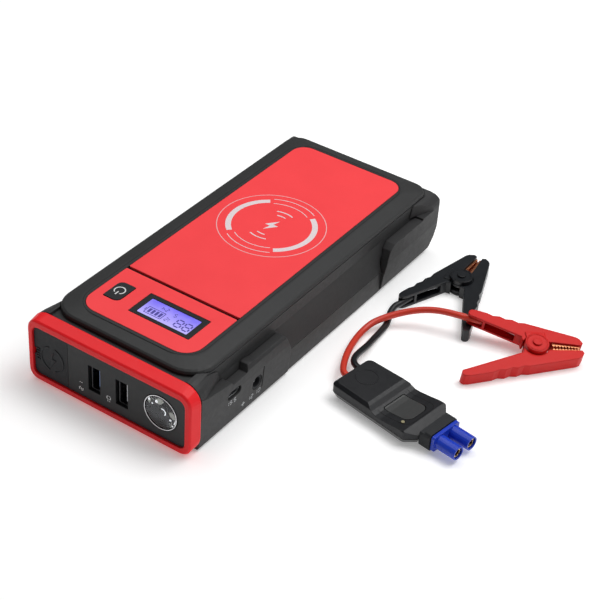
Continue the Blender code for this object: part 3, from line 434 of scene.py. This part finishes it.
def add_cables():
    for colour, route in (("red", RED_ROUTE), ("black", BLACK_ROUTE)):
        points = smooth_route(route, 6)
        cable = wire(colour + "_lead", points, CABLE, "cable_" + colour, "clamp_lead", 6)
        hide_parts(colour + "_cable")
        ends = [NODES[colour + "_" + part] for part in
                ("clamp_fixed", "clamp_moving", "teeth_fixed", "teeth_moving", "pivot_pin", "spring")]
        if colour == "red":
            ends += [NODES[name] for name in
                     ("relay_base", "relay_top", "boost_button", "status_led", "plug_collar",
                      "plug_housing", "plug_contact_positive", "plug_contact_negative")]


add_cables()


# ---------------------------------------------------------------- building pieces

def finished(name, mesh, look, body, smooth=None):
    """Turn a bmesh into a piece that rides on a body."""
    bmesh.ops.recalc_face_normals(mesh, faces=mesh.faces)
    data = bpy.data.meshes.new(name)
    mesh.to_mesh(data)
    mesh.free()
    data.materials.append(MATERIALS[look])
    made = bpy.data.objects.new(name, data)
    bpy.context.scene.collection.objects.link(made)
    if smooth:
        data.shade_smooth()
        data.set_sharp_from_angle(angle=math.radians(smooth))
    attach(made, body)
    return made


def arc(cx, cy, radius, start, end, steps=16):
    """Points on an arc; angles in degrees."""
    angles = [math.radians(start + (end - start) * i / steps) for i in range(steps + 1)]
    return [(cx + radius * math.cos(a), cy + radius * math.sin(a)) for a in angles]


def band(cx, cy, inner, outer, start, end, steps=24):
    """Outline of a curved strip."""
    return arc(cx, cy, outer, start, end, steps) + arc(cx, cy, inner, end, start, steps)


def full_ring(cx, cy, inner, outer, steps=24):
    """A whole ring as two half strips."""
    return [band(cx, cy, inner, outer, start, start + 180, steps) for start in (0, 180)]


def stroke(ax, ay, bx, by, width):
    """Outline of a straight bar."""
    along = Vector((bx - ax, by - ay)).normalized() * (width / 2)
    side = Vector((-along.y, along.x))
    ends = (Vector((ax, ay)), Vector((bx, by)))
    return [tuple(ends[0] - side), tuple(ends[1] - side), tuple(ends[1] + side), tuple(ends[0] + side)]


SEGMENTS = {
    "a": ((0.0, 1.0), (1.0, 1.0)), "b": ((1.0, 1.0), (1.0, 0.5)), "c": ((1.0, 0.5), (1.0, 0.0)),
    "d": ((0.0, 0.0), (1.0, 0.0)), "e": ((0.0, 0.5), (0.0, 0.0)), "f": ((0.0, 1.0), (0.0, 0.5)),
    "g": ((0.0, 0.5), (1.0, 0.5)),
}
DIGITS = {"0": "abcdef", "1": "bc", "2": "abged", "3": "abgcd", "4": "fgbc", "5": "afgcd", "6": "afgecd",
          "7": "abc", "8": "abcdefg", "9": "abcdfg"}


def number(text, u, v, width, height, line, pitch):
    """Seven-segment figures, starting at (u, v)."""
    shapes = []
    for i, digit in enumerate(text):
        left = u + i * pitch
        for key in DIGITS[digit]:
            (ax, ay), (bx, by) = SEGMENTS[key]
            start = Vector((left + ax * width, v + ay * height))
            end = Vector((left + bx * width, v + by * height))
            trim = (end - start).normalized() * line * 0.6
            shapes.append(stroke(*(start + trim), *(end - trim), line))
    return shapes


def stamped(name, outlines, low, high, place, look, body):
    """Raised or printed shapes: each outline is carried from height low to high."""
    mesh = bmesh.new()
    for outline in outlines:
        lower = [mesh.verts.new(place(u, v, low)) for u, v in outline]
        upper = [mesh.verts.new(place(u, v, high)) for u, v in outline]
        mesh.faces.new(upper)
        mesh.faces.new(lower[::-1])
        for i in range(len(outline)):
            j = (i + 1) % len(outline)
            mesh.faces.new((lower[i], lower[j], upper[j], upper[i]))
    return finished(name, mesh, look, body)


def top_face(u, v, h):
    return mm(u, v, h)


def from_rear(u, v, h):
    """Top surface read from behind the pack: up the picture is towards the ports."""
    return mm(-u, -v, h)


PORT_FACE = 107.6          # front of the port plate, towards -Y
SIDE_FOOT = (47.6, 1.6)    # x and z at the foot of the right-hand port block
SIDE_LEAN = 1.3 / 18.4


def port_face(u, v, h):
    return mm(u, -PORT_FACE - h, v)


def right_face(u, v, h):
    """Right-hand port block, whose side leans slightly."""
    x, z = SIDE_FOOT
    return mm(x + SIDE_LEAN * (v - z) + h, u, v)


def turned(name, profile, place, look, body, steps, smooth):
    """Surface of revolution; profile is (radius, height) and place maps (u, v, h) to the world."""
    mesh = bmesh.new()
    rings = []
    for radius, height in profile:
        rings.append([mesh.verts.new(place(radius * math.cos(2 * math.pi * i / steps),
                                           radius * math.sin(2 * math.pi * i / steps), height))
                      for i in range(steps)])
    for lower, upper in zip(rings, rings[1:]):
        for i in range(steps):
            j = (i + 1) % steps
            mesh.faces.new((lower[i], lower[j], upper[j], upper[i]))
    return finished(name, mesh, look, body, smooth)


# ---------------------------------------------------------------- top of the pack

PAD_CENTRE = (0.0, 20.5)
PRINT_Z = (39.99, 40.03)


def add_pad_print():
    """Charging target: a thin full ring round broken thick and thin arcs and a bolt."""
    x, y = PAD_CENTRE
    stamped("pad_ring", full_ring(x, y, 27.55, 28.0, 48), *PRINT_Z, top_face, "faint", "pack")
    strips = []
    for start, end in ((127, 230), (-53, 54)):
        strips.append(band(x, y, 20.5, 23.4, start, end, 36))
    for start, end in ((60, 122), (237, 303)):
        strips.append(band(x, y, 23.8, 24.2, start, end, 24))
        strips.append(band(x, y, 19.8, 20.2, start, end, 24))
    for radius, start, end in ((13.2, 71, 113), (9.6, 78, 108), (12.8, -112, -68), (9.2, -106, -77)):
        strips.append(band(x, y, radius - 0.35, radius + 0.35, start, end, 14))
    stamped("pad_print", strips, *PRINT_Z, top_face, "print", "pack")
    bolt = [(1.6, 5.4), (-3.4, -0.9), (-0.5, -0.9), (-1.6, -5.4), (3.4, 0.9), (0.5, 0.9)]
    stamped("pad_bolt", [[(x + u, y + v) for u, v in bolt]], *PRINT_Z, top_face, "print", "pack")


def add_power_mark():
    """Standby ring with its bar towards the ports."""
    x, y = -23.6, -70.2
    ring = [band(x, y, 2.35, 2.95, -58, 238, 32)]
    ring.append(stroke(x, y - 1.0, x, y - 3.7, 0.65))
    stamped("power_mark", ring, 40.29, 40.34, top_face, "white_mark", "power_button")


def add_screen_marks():
    """Charge figures, and a battery gauge with bars."""
    shapes = number("88", -20.0, 70.0, 3.4, 5.4, 0.75, 4.8)
    shapes += number("12", -9.6, 72.4, 1.4, 2.4, 0.4, 2.2)
    for i in range(4):
        left = 2.1 * i - 3.6
        shapes.append([(left, 71.4), (left + 1.4, 71.4), (left + 1.4, 74.6), (left, 74.6)])
    for ax, ay, bx, by in ((-4.4, 70.6, 5.2, 70.6), (-4.4, 75.4, 5.2, 75.4), (-4.4, 70.6, -4.4, 75.4),
                           (5.2, 70.6, 5.2, 75.4), (5.9, 72.0, 5.9, 74.0)):
        shapes.append(stroke(ax, ay, bx, by, 0.4))
    shapes += number("5", -9.4, 67.6, 1.4, 2.4, 0.4, 2.2)
    shapes += number("24", -3.8, 66.8, 1.3, 2.2, 0.38, 2.1)
    stamped("screen_marks", shapes, 39.78, 39.83, from_rear, "digit", "pack")


def frame_line(x0, x1, y0, y1, radius, width):
    """Thin rounded rectangle made of four bars and four corner strips."""
    shapes = [stroke(x0 + radius, y, x1 - radius, y, width) for y in (y0, y1)]
    shapes += [stroke(x, y0 + radius, x, y1 - radius, width) for x in (x0, x1)]
    inner, outer = radius - width / 2, radius + width / 2
    for cx, cy, start in ((x1 - radius, y1 - radius, 0), (x0 + radius, y1 - radius, 90),
                          (x0 + radius, y0 + radius, 180), (x1 - radius, y0 + radius, 270)):
        shapes.append(band(cx, cy, inner, outer, start, start + 90, 8))
    return shapes


def add_panel_border():
    """Fine dark line round the two red panels: painted shade of the seam."""
    line = frame_line(-35.0, 35.0, -91.7, 97.1, 13.0, 0.35)
    stamped("panel_border", line, 39.99, 40.01, top_face, "recess_shade", "pack")


add_pad_print()
add_power_mark()
add_screen_marks()
add_panel_border()


# ---------------------------------------------------------------- port end

def add_port_numbers():
    """White port figures beside the two outlets, read with the pack on its side."""
    def sideways(u, v, h):
        return port_face(-v, u, h)

    shapes = number("21", 7.6, 15.2, 1.8, 2.1, 0.4, 2.9)
    shapes += number("10", 7.6, -1.4, 1.8, 2.1, 0.4, 2.9)
    stamped("port_numbers", shapes, -0.02, 0.04, sideways, "white_mark", "pack")


def add_cover_relief():
    """Raised sign on the rubber cover, a broken ring round a bolt, and the finger grips."""
    x, z = -33.8, 16.6
    shapes = [band(x, z, 6.4, 7.2, -75, 75, 20), band(x, z, 6.4, 7.2, 105, 255, 20)]
    shapes.append([(x + u, z + v) for u, v in ((0.9, 4.6), (-2.6, -0.5), (-0.3, -0.5), (-0.9, -4.6),
                                                (2.6, 0.5), (0.3, 0.5))])
    stamped("cover_relief", shapes, -0.2, 0.14, port_face, "rubber", "socket_cover")
    grips = [stroke(-43.2, z + dz, -41.2, z + dz, 0.55) for dz in (-3.0, -1.5, 0.0, 1.5, 3.0)]
    stamped("cover_grip", grips, -0.2, 0.25, port_face, "rubber", "socket_cover")


LAMP = (30.6, 18.6)


def lamp_place(u, v, h):
    return port_face(LAMP[0] + u, LAMP[1] + v, h)


def spot(u, v, radius):
    return arc(u, v, radius, 0, 315, 7)


EMITTER = -3.15        # height of the emitter plate behind the port face
DOME_RADIUS = 1.7


def add_lamp_details():
    """Faceted bowl in near-black metal as painted shade, the emitter plate in painted shade, its dome, and
    the thin rim.
    """
    bowl = [(8.8, -1.35), (8.2, -1.9), (6.4, -2.7), (4.2, -3.3), (2.4, -3.6)]
    turned("lamp_bowl", bowl, lamp_place, "shaded_chrome", "pack", 18, 10)
    rim = [(8.95, -0.4), (8.95, 0.25), (9.15, 0.34), (9.35, 0.25), (9.35, -0.4)]
    turned("lamp_rim", rim, lamp_place, "rim", "pack", 64, 60)
    base = [(2.5, -3.55), (2.45, -3.2), (0.05, EMITTER)]
    turned("lamp_emitter_plate", base, lamp_place, "recess_shade", "pack", 24, 30)
    angles = [math.radians(90.0 * i / 7) for i in range(7)]
    dome = [(DOME_RADIUS * math.cos(a), EMITTER + DOME_RADIUS * math.sin(a)) for a in angles]
    dome.append((0.05, EMITTER + DOME_RADIUS))
    turned("lamp_dome", dome, lamp_place, "lens", "pack", 24, 60)


def add_lamp_glints():
    """Painted glints: bright and half-bright reflections painted as glowing patches on the bowl, and a
    painted highlight round the dome.
    """
    bright = [spot(-7.2, 3.9, 0.7), spot(-5.2, 2.4, 0.42), spot(-2.9, 4.5, 0.7)]
    bright += [spot(5.0, -2.4, 0.5), spot(6.1, -5.4, 0.45)]
    bright += [band(0, 0, 7.7, 8.3, -30, 4, 8), band(0.5, 0.1, 1.5, 2.0, -42, 112, 14)]
    stamped("lamp_painted_glints", bright, -1.45, -1.36, lamp_place, "glint", "pack")
    upper = [(-3.6, 5.3), (-3.4, 3.8), (-1.6, 3.5), (-0.2, 4.1), (0.9, 5.6), (0.0, 6.7), (-2.0, 6.6)]
    right = [(3.9, 1.6), (4.9, -0.4), (6.4, -1.6), (7.4, -1.0), (7.3, 0.8), (5.6, 2.2)]
    dim = [upper, right, stroke(6.8, -2.8, 7.1, -5.0, 0.35), stroke(5.4, -3.4, 5.6, -6.4, 0.28),
           stroke(4.6, -4.4, 4.9, -6.8, 0.22), stroke(-6.2, 5.0, -4.2, 4.4, 0.3)]
    dim.append(band(0, 0, 6.9, 8.2, 148, 165, 5))
    stamped("lamp_painted_soft_glints", dim, -1.55, -1.47, lamp_place, "soft_glint", "pack")


def add_side_marks():
    """Small worn figures and a plus sign below the charging ports."""
    shapes = number("15", -81.6, 13.4, 1.6, 2.2, 0.35, 2.6)
    shapes += number("5", -76.0, 13.1, 1.6, 2.2, 0.35, 2.6)
    shapes += number("12", -64.0, 5.2, 1.6, 2.2, 0.35, 2.6)
    shapes += number("10", -58.2, 5.2, 1.6, 2.2, 0.35, 2.6)
    shapes.append(stroke(-69.0, 6.3, -66.2, 6.3, 0.4))
    shapes.append(stroke(-67.6, 5.0, -67.6, 7.6, 0.4))
    stamped("side_marks", shapes, -0.02, 0.03, right_face, "mark", "pack")


def add_usb_contacts():
    """Four gold fingers on each outlet's tongue."""
    middle = 17.6
    for label, x in (("1", 8.6), ("2", -7.7)):
        x0, x1 = x + 0.36, x + 0.5
        strips = []
        for rise in (-3.5, -1.2, 1.2, 3.5):
            z0, z1 = middle + rise - 0.5, middle + rise + 0.5
            strips.append([(x0, z0), (x1, z0), (x1, z1), (x0, z1)])
        stamped("usb_fingers_" + label, strips, -9.5, -3.2, port_face, "gold", "pack")


add_port_numbers()
add_cover_relief()
add_lamp_details()
add_lamp_glints()
add_side_marks()
add_usb_contacts()


# ---------------------------------------------------------------- relay and clamps

RELAY_PLACE = (77.3, -18.7, 0.0)    # middle of the relay's cable end
RELAY_TURN = -9.0                   # degrees about +Z
RELAY = Matrix.Translation(mm(*RELAY_PLACE)) @ Matrix.Rotation(math.radians(RELAY_TURN), 4, "Z")
SADDLE = [(24.6, 8.0), (27.0, 7.1), (30.0, 7.0), (37.0, 7.9), (44.4, 9.1)]
CLAMP_AXES = {"red": (0.802759, 0.593844, -0.054102), "black": (-0.073238, 0.997314, 0.0)}
PIVOT_HEIGHT = 4.1                  # of a jaw joint above its clamp's underside


def on_relay(u, v, h):
    return RELAY @ mm(u, v, h)


def on_thumb_pad(u, v, h):
    """Saddle-shaped pad of the relay."""
    for (u0, z0), (u1, z1) in zip(SADDLE, SADDLE[1:]):
        if u <= u1:
            break
    return RELAY @ mm(u, v, z0 + (z1 - z0) * (u - u0) / (u1 - u0) + h)


def clamp_frame(colour):
    """Local frame of a clamp, from its jaw joint."""
    joints = {joint["name"]: joint for joint in frame["record"]["behaviour"]["joints"]}
    joint = joints[colour + "_jaw_hinge"]
    up = -Vector(joint["axis"]).normalized()
    along = Vector(CLAMP_AXES[colour]).normalized()
    across = up.cross(along)
    turn = Matrix((along, across, up)).transposed().to_4x4()
    return Matrix.Translation(Vector(joint["pos_m"])) @ turn @ Matrix.Translation(mm(0, 0, -PIVOT_HEIGHT))


def add_relay_marks():
    """Round emboss on the cap, and painted shade round the push pad: flat near-black lines where its groove
    would be dark.
    """
    stamped("relay_emboss", full_ring(8.2, 0.8, 5.3, 5.75), 10.3, 10.5, on_relay, "relay", "clamp_lead")
    groove_shade = [stroke(u0, side * 10.7, u1, side * 10.7, 0.3) for side in (-1, 1)
              for u0, u1 in ((25.4, 27.0), (27.0, 30.0), (30.0, 37.0), (37.0, 39.4))]
    groove_shade += [stroke(43.6, -6.6, 43.6, 6.6, 0.3)]
    groove_shade += [band(39.4, side * 6.5, 4.05, 4.35, 0, side * 90, 8) for side in (-1, 1)]
    stamped("relay_groove_shade", groove_shade, -0.03, 0.03, on_thumb_pad, "groove_shade", "clamp_lead")


SPRING_WIRE = 0.0007


def add_spring_legs(colour):
    """Straight ends of the torsion spring, one under each handle."""
    place = clamp_frame(colour)
    knots = [(-0.6, 3.45), (-4.2, 5.2), (-9.0, 8.8), (-15.0, 12.2)]
    halves = (("fixed", "clamp_lead", 1, 3.3), ("moving", colour + "_jaw", -1, 4.55))
    for half, body, side, level in halves:
        points = [place @ mm(x, side * y, level) for x, y in knots]
        wire("{}_spring_leg_{}".format(colour, half), points, SPRING_WIRE, "spring", body, 2)


def add_pivot_rings(colour):
    """Moulded ring on the pivot disc."""
    place = clamp_frame(colour)

    def on_disc(u, v, h):
        return place @ mm(u, v, h)

    look = "clamp_" + colour
    stamped(colour + "_pivot_ring", full_ring(0, 0, 4.9, 5.3), 8.9, 9.15, on_disc, look, "clamp_lead")


add_relay_marks()
for clamp_colour in ("red", "black"):
    add_spring_legs(clamp_colour)
    add_pivot_rings(clamp_colour)


# ---------------------------------------------------------------- stage

FLOOR_HALF = 3.0
FLOOR_DROP = 0.0002    # below the object, so that faces never coincide
FLOOR_GLOW = 0.25


def add_floor():
    mesh = bmesh.new()
    bmesh.ops.create_grid(mesh, x_segments=2, y_segments=2, size=FLOOR_HALF)
    data = bpy.data.meshes.new("floor")
    mesh.to_mesh(data)
    mesh.free()
    floor = bpy.data.objects.new("floor", data)
    bpy.context.scene.collection.objects.link(floor)
    n = Nodes("floor_paper")
    cloud = n.noise(6.0, 2.0)
    n.link(n.blend(n.remap(cloud, 0.3, 0.7, 0.0, 1.0), (0.90, 0.90, 0.90), (0.93, 0.93, 0.93)),
           n.shader.inputs["Base Color"])
    n.shader.inputs["Roughness"].default_value = 0.9
    n.shader.inputs["Emission Color"].default_value = (1.0, 1.0, 1.0, 1.0)
    n.shader.inputs["Emission Strength"].default_value = FLOOR_GLOW
    data.materials.append(n.material)
    floor.location.z = -FLOOR_DROP


# name, place, aim, width, height, power
LIGHTS = [
    ("key", (0.50, 0.42, 1.1), (0, 0, 0), 0.9, 0.8, 8.8),
    ("top", (-0.2, 0.25, 1.15), (0, -0.02, 0), 1.4, 0.8, 7.6),
    ("fill", (1.1, 0.20, 0.40), (0.05, 0, 0), 0.8, 0.4, 0.8),
]
SKY_STRENGTH = 0.13


def area_light(name, place, aim, width, height, power):
    light = bpy.data.lights.new(name, "AREA")
    light.shape = "RECTANGLE"
    light.size = width
    light.size_y = height
    light.energy = power
    made = bpy.data.objects.new(name, light)
    made.location = place
    made.rotation_euler = (Vector(aim) - Vector(place)).to_track_quat("-Z", "Y").to_euler()
    bpy.context.scene.collection.objects.link(made)


def add_light():
    world = bpy.data.worlds.new("studio")
    bpy.context.scene.world = world
    world.use_nodes = True
    sky = world.node_tree.nodes["Background"]
    sky.inputs["Color"].default_value = (1.0, 1.0, 1.0, 1.0)
    sky.inputs["Strength"].default_value = SKY_STRENGTH
    for light in LIGHTS:
        area_light(*light)


add_floor()
add_light()
